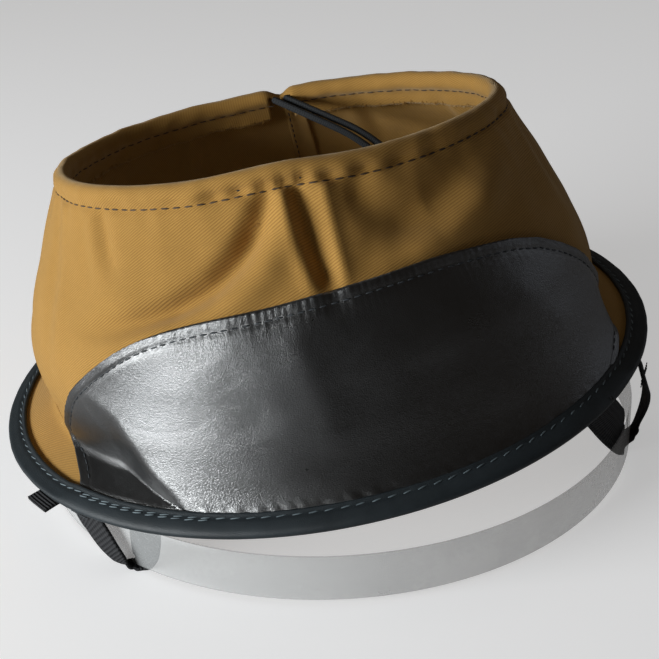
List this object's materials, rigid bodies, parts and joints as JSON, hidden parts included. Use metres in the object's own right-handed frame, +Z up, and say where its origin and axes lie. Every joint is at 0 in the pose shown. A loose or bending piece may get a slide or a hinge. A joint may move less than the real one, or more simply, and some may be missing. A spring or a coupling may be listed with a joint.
{
  "type": "welding helmet hood",
  "caption": "Soft welding hood: open-topped twill crown, leather front, bound brim, and a clear band carried in elastic loops.",
  "frame": {"origin": "on the table, under the centre of the whole object's box; the hood stands as it is put down, leaning to the left", "axes": "+Z up from the table, -Y towards the leather front, +X to the right of someone who looks at the front"},
  "size_m": [0.2738, 0.2628, 0.1514],
  "materials": {
    "twill": "golden brown cotton twill",
    "leather": "smooth black leather, semi gloss",
    "binding": "smooth slate black binding tape",
    "clear_plastic": "clear plastic, slightly frosted",
    "elastic": "black ribbed elastic",
    "cord": "black braided elastic cord",
    "wire": "spring steel wire",
    "rivet": "dull plated brass",
    "lock_plastic": "black moulded plastic",
    "brown_thread": "dark brown thread",
    "black_thread": "black thread",
    "grey_thread": "grey thread"
  },
  "bodies": {
    "root": {"twill_crown": "twill", "twill_brim": "twill", "leather_front": "leather", "brim_binding": "binding", "brim_wire": "wire", "left_loop": "elastic", "right_loop": "elastic", "strap_end_tab": "elastic", "loop_bartacks": "black_thread", "drawcord": "cord", "left_tail": "cord", "right_tail": "cord", "tail_knots": "cord", "casing_thread": "brown_thread", "back_seam_thread": "brown_thread", "leather_thread": "black_thread", "binding_thread": "grey_thread"},
    "band": {"clear_band": "clear_plastic", "band_rivets": "rivet"},
    "lock": {"lock_barrel": "lock_plastic", "lock_spring": "wire"},
    "button": {"lock_button": "lock_plastic"}
  },
  "joints": [
    {"name": "band_turn", "type": "hinge", "parent": "root", "child": "band", "pos_m": [0.0052, -0.0017, 0.00108], "axis": [-0.0024, 0.0082, 1], "range_deg": [-88, 118]},
    {"name": "lock_slide", "type": "slide", "parent": "root", "child": "lock", "axis": [0.0588, 0.9983, 0], "range_m": [-0.006, 0.006]},
    {"name": "button_press", "type": "slide", "parent": "lock", "child": "button", "axis": [0, 0, -1], "range_m": [0, 0.003], "stiffness_N_per_m": 400, "springref_m": -0.004, "deforming": ["lock_spring"]}
  ]
}
